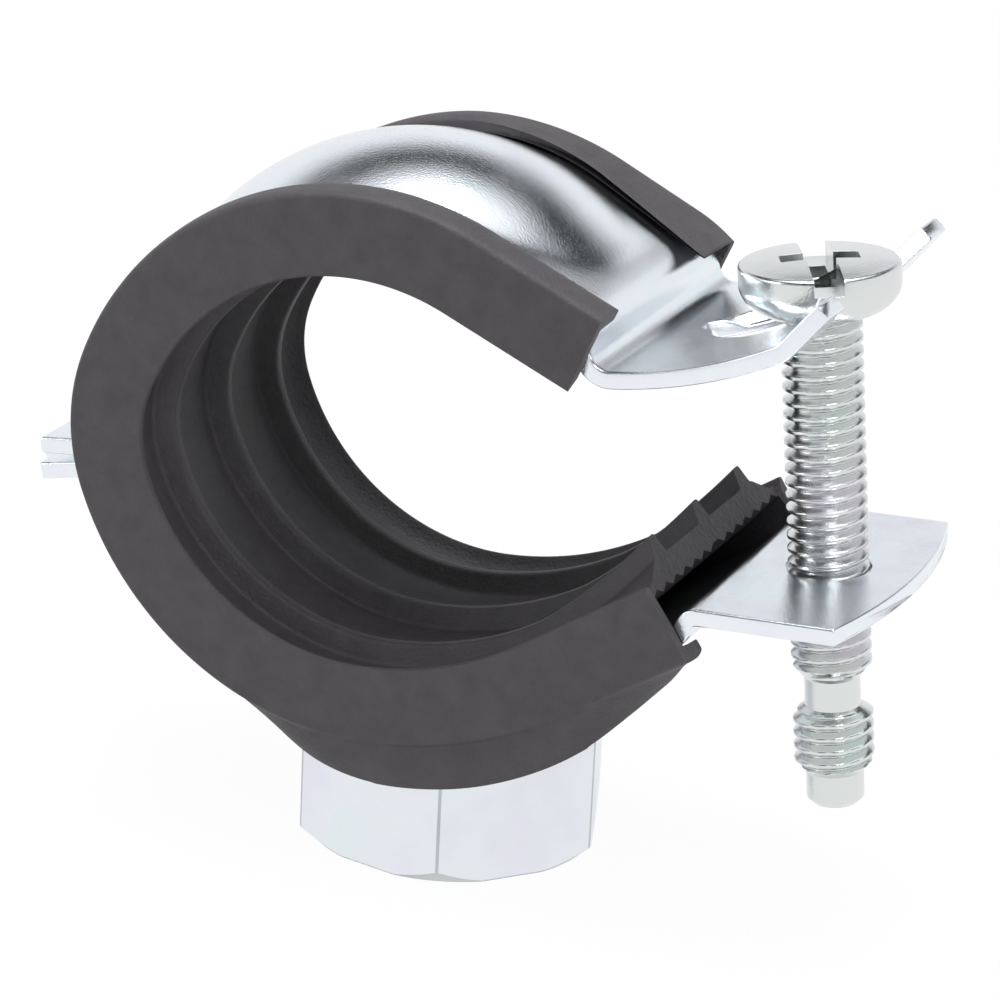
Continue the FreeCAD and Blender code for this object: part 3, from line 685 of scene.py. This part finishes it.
def rubber(name, shade, pores_per_metre, pore_depth):
    """Matt black rubber: a dusty mottling over millimetres, and a fine bloom of pores in the bump."""
    material = bpy.data.materials.new(name)
    material.use_nodes = True
    nodes = material.node_tree.nodes
    links = material.node_tree.links
    shader = nodes["Principled BSDF"]
    shader.inputs["Roughness"].default_value = 0.62
    shader.inputs["Specular IOR Level"].default_value = 0.42
    place = nodes.new("ShaderNodeTexCoord")
    bloom = nodes.new("ShaderNodeTexNoise")
    bloom.inputs["Scale"].default_value = 520.0
    bloom.inputs["Detail"].default_value = 9.0
    bloom.inputs["Roughness"].default_value = 0.66
    links.new(place.outputs["Object"], bloom.inputs["Vector"])
    shades = nodes.new("ShaderNodeValToRGB")
    shades.color_ramp.elements[0].position = 0.3
    shades.color_ramp.elements[0].color = (0.043 * shade, 0.039 * shade, 0.043 * shade, 1)
    shades.color_ramp.elements[1].position = 0.75
    shades.color_ramp.elements[1].color = (0.062 * shade, 0.057 * shade, 0.061 * shade, 1)
    links.new(bloom.outputs["Fac"], shades.inputs["Fac"])
    links.new(shades.outputs["Color"], shader.inputs["Base Color"])
    pores = nodes.new("ShaderNodeTexNoise")
    pores.inputs["Scale"].default_value = pores_per_metre
    pores.inputs["Detail"].default_value = 3.0
    links.new(place.outputs["Object"], pores.inputs["Vector"])
    bump = nodes.new("ShaderNodeBump")
    bump.inputs["Strength"].default_value = 0.8
    bump.inputs["Distance"].default_value = pore_depth
    links.new(pores.outputs["Fac"], bump.inputs["Height"])
    links.new(bump.outputs["Normal"], shader.inputs["Normal"])
    return material


liner_mesh.materials.append(rubber("liner_rubber", 1.0, 3600.0, 0.00009))
liner_mesh.materials.append(rubber("cut_rubber", 1.3, 2200.0, 0.0002))
corner_counts = np.zeros(len(liner_mesh.polygons), dtype=np.int32)
liner_mesh.polygons.foreach_get("loop_total", corner_counts)
liner_mesh.polygons.foreach_set("material_index", (corner_counts > 4).astype(np.int32))
liner = bpy.data.objects.new("rubber_liner", liner_mesh)
bpy.context.scene.collection.objects.link(liner)
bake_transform(liner)
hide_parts("liner_lower", "liner_upper")

# The connection nut: a 22 mm hexagon of free-cutting steel, zinc plated, chamfered at both ends and welded
# to the band by its projections, with a threaded bore in two steps for M10 and M8 rod.
nut_centre_x = -pipe_axis[0]
nut_apothem = 10.9
nut_corner_round = 0.3
nut_turn = np.radians(49.75)
nut_foot = -pipe_axis[2]
weld_gap = 0.05
pad_step = 0.25
nut_top = -steel_outer_radius - pad_step
foot_radius = 11.15
foot_chamfer = 1.35
top_chamfer = 1.3
pad_radius = 7.0
no_radius = 0.001
edge_in = 0.22
edge_up = 0.12

# Columns of points lie close together round each corner and 2 degrees apart on the flats
sector = np.concatenate([np.linspace(-1.3, 1.3, 15), np.linspace(2.0, 58.0, 29)])
nut_angles = nut_turn + np.radians((np.arange(6)[:, None] * 60 + sector).ravel())
nut_angles = np.append(nut_angles, nut_angles[0] + 2 * np.pi)


def hexagon(angle, apothem, corner_round):
    """Distance from the middle to a hexagon with rounded corners: apothem / cos(angle) on the flats, and
    the far side of a small circle near each corner."""
    from_corner = (angle - nut_turn + np.pi / 6) % (np.pi / 3) - np.pi / 6
    on_flat = apothem / np.cos(np.pi / 6 - abs(from_corner))
    middle = (apothem - corner_round) / np.cos(np.pi / 6)
    across = middle * np.sin(from_corner)
    circle = middle * np.cos(from_corner) + np.sqrt(np.clip(corner_round ** 2 - across ** 2, 0, None))
    tangent = np.pi / 6 - np.arctan((apothem - corner_round) * np.tan(np.pi / 6) / apothem)
    return np.where(abs(from_corner) < tangent, circle, on_flat)


def nut_row(radius, height):
    """Ring of points round the nut's axis: radius * (cos, sin) of the columns' angles, at a height."""
    radius = np.broadcast_to(radius, nut_angles.shape)
    height = np.broadcast_to(height, nut_angles.shape)
    x = nut_centre_x + radius * np.cos(nut_angles)
    return np.stack([x, radius * np.sin(nut_angles), height], axis=-1)


# The outside goes from the foot's edge up its chamfer, along the flats, up the top's chamfer and to the pad
reach = hexagon(nut_angles, nut_apothem, nut_corner_round)
corner_over_foot = nut_apothem / np.cos(np.pi / 6) - foot_radius
foot_slope = foot_chamfer / corner_over_foot
foot_reach = np.minimum(reach - 0.02, foot_radius)
foot_rise = (reach - foot_reach) * foot_slope
top_fall = (reach - foot_reach) * top_chamfer / corner_over_foot
foot_edge = nut_foot + edge_up
top_edge = nut_top - edge_up
pad_seat = steel_outer_radius + weld_gap
pad_x = nut_centre_x + pad_radius * np.cos(nut_angles)
pad_top = -np.sqrt(pad_seat ** 2 - pad_x ** 2)
nut_outside = np.stack([
    nut_row(foot_reach - edge_in, nut_foot), nut_row(foot_reach - 0.06, nut_foot + 0.04),
    nut_row(foot_reach, foot_edge), nut_row((foot_reach + reach) / 2, foot_edge + foot_rise * 0.5),
    nut_row(reach - 0.03, foot_edge + foot_rise * 0.96), nut_row(reach, foot_edge + foot_rise + edge_up),
    nut_row(reach, top_edge - top_fall - edge_up), nut_row(reach - 0.03, top_edge - top_fall * 0.96),
    nut_row(foot_reach, top_edge), nut_row(foot_reach - edge_in, nut_top), nut_row(pad_radius, nut_top),
    nut_row(pad_radius, pad_top), nut_row(no_radius, -pad_seat - weld_gap)])

bore_end = nut_top - 0.35
bore_mouth = 5.15
wide_depth = 5.5
wide_run_out = 0.4
bore_height = np.linspace(nut_foot, bore_end, 190)
depth = (bore_height - nut_foot)[:, None]
turn = nut_angles[None, :] / (2 * np.pi)


def thread_wave(phase):
    """Thread form over one turn: a flat crest, two straight flanks and a flat root, from 1 down to 0."""
    return np.clip(abs((phase % 1.0) * 2 - 1) * 1.6 - 0.2, 0, 1)


def bore_thread(core, deep, pitch):
    """Radius of a threaded bore: core + deep * (1 - thread form), one turn for each pitch of depth."""
    return core + deep * (1 - thread_wave(depth / pitch - turn))


wide_bore = bore_thread(4.25, 0.72, 1.5)
narrow_bore = bore_thread(3.4, 0.6, 1.25)
step_share = np.clip((depth - wide_depth) / wide_run_out, 0, 1)
bore = wide_bore * (1 - step_share) + narrow_bore * step_share
bore = np.clip(bore, bore_mouth - depth, bore_mouth)
bore_sheet = np.stack([nut_centre_x + bore * np.cos(nut_angles), bore * np.sin(nut_angles),
                       np.broadcast_to(bore_height[:, None], bore.shape)], axis=-1)
foot_sheet = np.stack([nut_row(foot_reach - edge_in, nut_foot), bore_sheet[0]])
end_sheet = np.stack([bore_sheet[-1], nut_row(no_radius, bore_end)])
nut_sheets = [nut_outside, foot_sheet, bore_sheet, end_sheet]
nut_mesh = skin("connection_nut_turned", nut_sheets, sharp_degrees=18.0)
nut_mesh.materials.append(zinc("nut_zinc", (0.80, 0.83, 0.87), 0.34, 0.5, 0.006))
# Second slot: a darker, rougher zinc whose colour is painted dark reflection on the corners and chamfers
nut_mesh.materials.append(zinc("nut_painted_dark_zinc", (0.56, 0.58, 0.60), 0.5, 0.3, 0.01))

# The corners and chamfers get a darker, rougher zinc whose colour is painted dark reflection: a face takes
# it by the angle and height of its centre
painted_dark_corner_angle = np.radians(0.6)
centres = np.zeros(len(nut_mesh.polygons) * 3, dtype=np.float32)
nut_mesh.polygons.foreach_get("center", centres)
centres = centres.reshape(-1, 3) * 1000.0
centre_angle = np.arctan2(centres[:, 1], centres[:, 0])
from_corner = (centre_angle - nut_turn + np.pi / 6) % (np.pi / 3) - np.pi / 6
face_reach = hexagon(centre_angle, nut_apothem, nut_corner_round)
centre_reach = np.hypot(centres[:, 0], centres[:, 1])
on_corner = (abs(from_corner) < painted_dark_corner_angle) & (centre_reach > nut_apothem)
chamfer_line = 0.15 + np.clip(face_reach - foot_radius, 0.02, None) * foot_slope
on_chamfer = (centres[:, 2] < chamfer_line) & (centre_reach > nut_apothem - 0.5)
nut_mesh.polygons.foreach_set("material_index", (on_corner | on_chamfer).astype(np.int32))
nut = put("connection_nut_turned", nut_mesh, "lower_half")
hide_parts("connection_nut")

# The captive screw: M6 steel, zinc plated, with a rolled thread and a low cheese head that takes a blade or
# a cross driver. Below the thread a relief neck and a short second thread keep it from falling out, and a
# dog point leads it in.
seat_level = 10.75
head_seat = seat_level / np.cos(screw_lean)
shank_top = head_seat + 0.4
thread_length = 27.0
neck_length = 2.2
second_length = 4.9
point_length = 2.6
crest_radius = 2.92
root_radius = 2.33
neck_radius = 2.03
point_radius = 2.1
neck_top = head_seat - thread_length
neck_low = neck_top - neck_length
second_low = neck_low - second_length
tip = second_low - point_length
screw_around = np.linspace(0, 2 * np.pi, 57)


def on_screw(radius, along):
    """Points at a radius round the screw's leaning axis, at a distance along it from the pipe's level."""
    radius, along, angle = np.broadcast_arrays(radius, along, screw_around[None, :])
    out = radius * np.cos(angle)
    x = screw_x + out * np.cos(screw_lean) - along * np.sin(screw_lean)
    z = out * np.sin(screw_lean) + along * np.cos(screw_lean)
    return np.stack([x, radius * np.sin(angle), z], axis=-1)


# The shank is the thread form, held down to a limit that falls at the neck and the second thread's ends
along = np.linspace(tip, shank_top, 520)[:, None]
screw_turn = screw_around[None, :] / (2 * np.pi)
threaded = root_radius + (crest_radius - root_radius) * thread_wave(along - screw_turn)
limit_at = [tip, tip + 0.45, second_low - 0.15, second_low + 0.75, neck_low - 0.55, neck_low, neck_top,
            neck_top + 1.1, shank_top]
limit = [point_radius - 0.45, point_radius, point_radius, crest_radius, crest_radius, neck_radius,
         neck_radius, crest_radius, crest_radius]
shank = np.minimum(threaded, np.interp(along, limit_at, limit))
shank_sheet = on_screw(shank, along)
tip_sheet = np.concatenate([on_screw(no_radius, np.array([[tip]])), shank_sheet[:1]])
top_sheet = np.concatenate([shank_sheet[-1:], on_screw(no_radius, np.array([[shank_top]]))])
shank_mesh = skin("screw_thread", [tip_sheet, shank_sheet, top_sheet], sharp_degrees=50.0)
screw_zinc = zinc("screw_zinc", (0.72, 0.735, 0.73), 0.22, 0.2, 0.016)
shank_mesh.materials.append(screw_zinc)
put("screw_thread", shank_mesh, "screw")

head_radius = 5.75
head_height = 3.8
head_dome = 0.4
head_edge = 0.3
under_radius = 2.6
under_share = 0.62
slot_width = 2.1
slot_depth = 1.55
cross_depth = 2.4
cross_taper = 0.35
cross_reach = 3.3
cross_width = 1.9
slot_turn = np.radians(27.0)
edge_bevel = 0.14
head_rim = head_seat + head_height
head_top = head_rim + head_dome


def head_profile():
    """Radii and heights from the middle of the head's top to the shank: a shallow dome of 1 - share ** 2, a
    small edge radius, a short upright side and a quarter-round underside."""
    share = np.linspace(0, 1, 14)
    dome_r = share * (head_radius - head_edge)
    dome_s = head_rim + head_dome * (1 - share ** 2)
    edge = np.radians(np.linspace(80, 0, 6))
    edge_r = head_radius - head_edge + head_edge * np.cos(edge)
    edge_s = head_rim - head_edge + head_edge * np.sin(edge)
    under = np.radians(np.linspace(0, 90, 20))
    under_r = under_radius + (head_radius - under_radius) * np.cos(under)
    under_s = head_seat + head_height * under_share * (1 - np.sin(under))
    radii = np.concatenate([dome_r, edge_r, under_r, [0.0]])
    return np.maximum(radii, no_radius / 2), np.concatenate([dome_s, edge_s, under_s, [head_seat]])


profile_r, profile_s = head_profile()
head_mesh = skin("screw_head", [on_screw(profile_r[:, None], profile_s[:, None])], sharp_degrees=60.0)


def cutter(name, along_half, across_half, depth, taper):
    """Block on the screw's axis down to a depth under the dome's top, turned to the slot's direction. Its
    foot is shorter by the taper and narrower by about a third of it."""
    low = head_top - depth
    high = head_rim + 2
    corners = np.array([(sx, sy, sz) for sz in (0, 1) for sy in (-1, 1) for sx in (-1, 1)], float)
    shrink = 1 - taper * (1 - corners[:, 2])
    x = corners[:, 0] * along_half * shrink
    y = corners[:, 1] * across_half * (1 - 0.35 * taper * (1 - corners[:, 2]))
    s = low + corners[:, 2] * (high - low)
    out = x * np.cos(slot_turn) - y * np.sin(slot_turn)
    off = x * np.sin(slot_turn) + y * np.cos(slot_turn)
    place = np.stack([screw_x + out * np.cos(screw_lean) - s * np.sin(screw_lean), off,
                      out * np.sin(screw_lean) + s * np.cos(screw_lean)], axis=-1)
    faces = [(0, 2, 3, 1), (4, 5, 7, 6), (0, 1, 5, 4), (2, 6, 7, 3), (0, 4, 6, 2), (1, 3, 7, 5)]
    mesh = bpy.data.meshes.new(name)
    mesh.from_pydata((place + pipe_axis) * 0.001, [], faces)
    tool = bpy.data.objects.new(name, mesh)
    bpy.context.scene.collection.objects.link(tool)
    return tool


head = bpy.data.objects.new("screw_head", head_mesh)
bpy.context.scene.collection.objects.link(head)
tools = [cutter("slot_tool", slot_width / 2, head_radius + 1, slot_depth, 0.0),
         cutter("wing_tool", cross_reach, cross_width / 2, cross_depth, cross_taper),
         cutter("blade_tool", cross_width / 2, cross_reach, cross_depth, cross_taper)]
for tool in tools:
    cut = head.modifiers.new(tool.name, "BOOLEAN")
    cut.object = tool
    cut.operation = "DIFFERENCE"
    cut.solver = "EXACT"
bpy.context.view_layer.update()
recessed = bpy.data.meshes.new_from_object(head.evaluated_get(bpy.context.evaluated_depsgraph_get()))
bpy.data.objects.remove(head)
for tool in tools:
    bpy.data.objects.remove(tool)
recessed.name = "screw_head"
recessed.materials.clear()
recessed.materials.append(screw_zinc)
recessed.shade_smooth()
recessed.set_sharp_from_angle(angle=np.radians(35))
head_piece = put("screw_head", recessed, "screw")
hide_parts("locking_screw")
softening = head_piece.modifiers.new("softened_edges", "BEVEL")
softening.width = edge_bevel * 0.001
softening.segments = 2
softening.limit_method = "ANGLE"
softening.angle_limit = np.radians(40)

# The studio: a pale floor under the nut's foot, and a surround that the zinc mirrors: a white backdrop all
# round, up to a third of the sky, a dim gap above it, and a wide soft light overhead. Soft lamps light the
# rubber.
floor_mesh = bpy.data.meshes.new("floor")
floor_mesh.from_pydata([(-3, -3, 0), (3, -3, 0), (3, 3, 0), (-3, 3, 0)], [], [(0, 1, 2, 3)])
floor = bpy.data.objects.new("floor", floor_mesh)
bpy.context.scene.collection.objects.link(floor)


def choose(tree, seen, lit, white):
    """Shader that is white for what the given path outputs see directly, and lit for all other light."""
    mix = tree.nodes.new("ShaderNodeMixShader")
    tree.links.new(seen, mix.inputs["Fac"])
    tree.links.new(lit, mix.inputs[1])
    tree.links.new(white, mix.inputs[2])
    return mix.outputs[0]


paper = bpy.data.materials.new("pale_paper")
paper.use_nodes = True
paper_tree = paper.node_tree
paper_shader = paper_tree.nodes["Principled BSDF"]
paper_shader.inputs["Base Color"].default_value = (0.82, 0.82, 0.82, 1)
paper_shader.inputs["Roughness"].default_value = 0.9
paper_glow = paper_tree.nodes.new("ShaderNodeEmission")
paper_glow.inputs["Strength"].default_value = 1.0
half_glow = paper_tree.nodes.new("ShaderNodeMixShader")
half_glow.inputs["Fac"].default_value = 0.96
paper_tree.links.new(paper_shader.outputs[0], half_glow.inputs[1])
paper_tree.links.new(paper_glow.outputs[0], half_glow.inputs[2])
paper_path = paper_tree.nodes.new("ShaderNodeLightPath")
seen_or_mirrored = paper_tree.nodes.new("ShaderNodeMath")
seen_or_mirrored.operation = "MAXIMUM"
paper_tree.links.new(paper_path.outputs["Is Camera Ray"], seen_or_mirrored.inputs[0])
paper_tree.links.new(paper_path.outputs["Is Glossy Ray"], seen_or_mirrored.inputs[1])
paper_out = choose(paper_tree, seen_or_mirrored.outputs[0], paper_shader.outputs[0], half_glow.outputs[0])
paper_tree.links.new(paper_out, paper_tree.nodes["Material Output"].inputs["Surface"])
floor_mesh.materials.append(paper)

world = bpy.data.worlds.new("studio")
bpy.context.scene.world = world
world.use_nodes = True
tree = world.node_tree
links = tree.links
surround = tree.nodes["Background"]
surround.inputs["Strength"].default_value = 1.0
place = tree.nodes.new("ShaderNodeTexCoord")
parts = tree.nodes.new("ShaderNodeSeparateXYZ")
links.new(place.outputs["Generated"], parts.inputs["Vector"])
height = tree.nodes.new("ShaderNodeValToRGB")
height.color_ramp.interpolation = "EASE"
height.color_ramp.elements[0].position = 0.0
height.color_ramp.elements[0].color = (0.60, 0.62, 0.64, 1)
height.color_ramp.elements[1].position = 1.0
height.color_ramp.elements[1].color = (1.25, 1.27, 1.3, 1)
for level, shade in ((0.48, 0.80), (0.52, 0.95), (0.70, 0.95), (0.765, 0.05), (0.86, 0.05), (0.90, 1.15)):
    stop = height.color_ramp.elements.new(level)
    stop.color = (shade, shade * 1.01, shade * 1.03, 1)
raise_up = tree.nodes.new("ShaderNodeMapRange")
raise_up.inputs["From Min"].default_value = -1.0
raise_up.inputs["From Max"].default_value = 1.0
links.new(parts.outputs["Z"], raise_up.inputs["Value"])
links.new(raise_up.outputs["Result"], height.inputs["Fac"])
front = tree.nodes.new("ShaderNodeMapRange")
front.interpolation_type = "SMOOTHSTEP"
front.inputs["From Min"].default_value = -0.35
front.inputs["From Max"].default_value = -0.75
front.inputs["To Min"].default_value = 1.0
front.inputs["To Max"].default_value = 0.35
links.new(parts.outputs["Y"], front.inputs["Value"])
shaded = tree.nodes.new("ShaderNodeVectorMath")
shaded.operation = "SCALE"
links.new(height.outputs["Color"], shaded.inputs[0])
links.new(front.outputs["Result"], shaded.inputs["Scale"])
links.new(shaded.outputs["Vector"], surround.inputs["Color"])
white_wall = tree.nodes.new("ShaderNodeBackground")
white_wall.inputs["Color"].default_value = (1, 1, 1, 1)
white_wall.inputs["Strength"].default_value = 1.0
path = tree.nodes.new("ShaderNodeLightPath")
world_out = choose(tree, path.outputs["Is Camera Ray"], surround.outputs[0], white_wall.outputs[0])
links.new(world_out, tree.nodes["World Output"].inputs["Surface"])


def lamp(name, place, size, watts):
    """Soft square lamp that looks at the middle of the clamp."""
    light = bpy.data.lights.new(name, "AREA")
    light.size = size
    light.energy = watts
    holder = bpy.data.objects.new(name, light)
    middle = Vector((0, 0, 0.03))
    holder.location = place
    holder.rotation_euler = (middle - Vector(place)).to_track_quat("-Z", "Y").to_euler()
    bpy.context.scene.collection.objects.link(holder)


lamp("key", (0.35, -0.45, 0.6), 0.30, 2.0)
lamp("overhead", (-0.05, 0.05, 0.7), 0.35, 3.6)
lamp("left_fill", (-0.55, -0.45, 0.25), 0.30, 1.1)

# The camera stands where the photographer stood: right of the front and a little above, far off, slightly
# rolled, and framed on the clamp's middle.
camera_data = bpy.data.cameras.new("photo_view")
camera_data.sensor_width = 36.0
camera_data.lens = 151.2
camera_data.clip_end = 10.0
camera = bpy.data.objects.new("photo_view", camera_data)
bpy.context.scene.collection.objects.link(camera)
camera_place = np.array([121.31, -266.54, 99.91]) + pipe_axis
camera_back = Vector((0.37275, -0.86025, 0.3479)).normalized()
camera_right = Vector((0.9098, 0.4126, 0.0453))
camera_right = (camera_right - camera_right.dot(camera_back) * camera_back).normalized()
camera_up = camera_back.cross(camera_right)
camera.matrix_world = Matrix((camera_right, camera_up, camera_back)).transposed().to_4x4()
camera.location = Vector(camera_place * 0.001)
bpy.context.scene.camera = camera
bpy.context.scene.view_settings.view_transform = "Standard"
